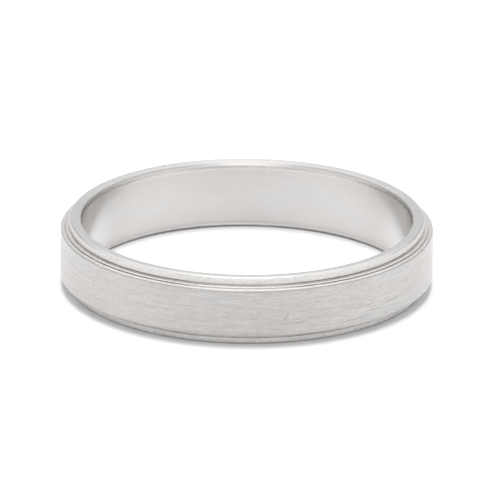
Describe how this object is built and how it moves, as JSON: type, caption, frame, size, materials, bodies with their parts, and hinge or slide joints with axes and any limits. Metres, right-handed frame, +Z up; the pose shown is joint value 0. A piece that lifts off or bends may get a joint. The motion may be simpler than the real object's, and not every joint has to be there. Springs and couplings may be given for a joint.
{
  "type": "wedding band",
  "caption": "Finger ring with a flat, brushed, raised centre and narrow stepped rims along its edges, worn as a wedding band.",
  "frame": {"origin": "centre of the ring, on the surface that it lies on", "axes": "+Z up along the finger axis, out of the finger hole; X and Y lie in the plane of the ring, with -Y towards the viewer"},
  "size_m": [0.0214, 0.0214, 0.004],
  "materials": {
    "white_gold": "satin"
  },
  "bodies": {
    "root": {"band": "white_gold"}
  },
  "joints": []
}
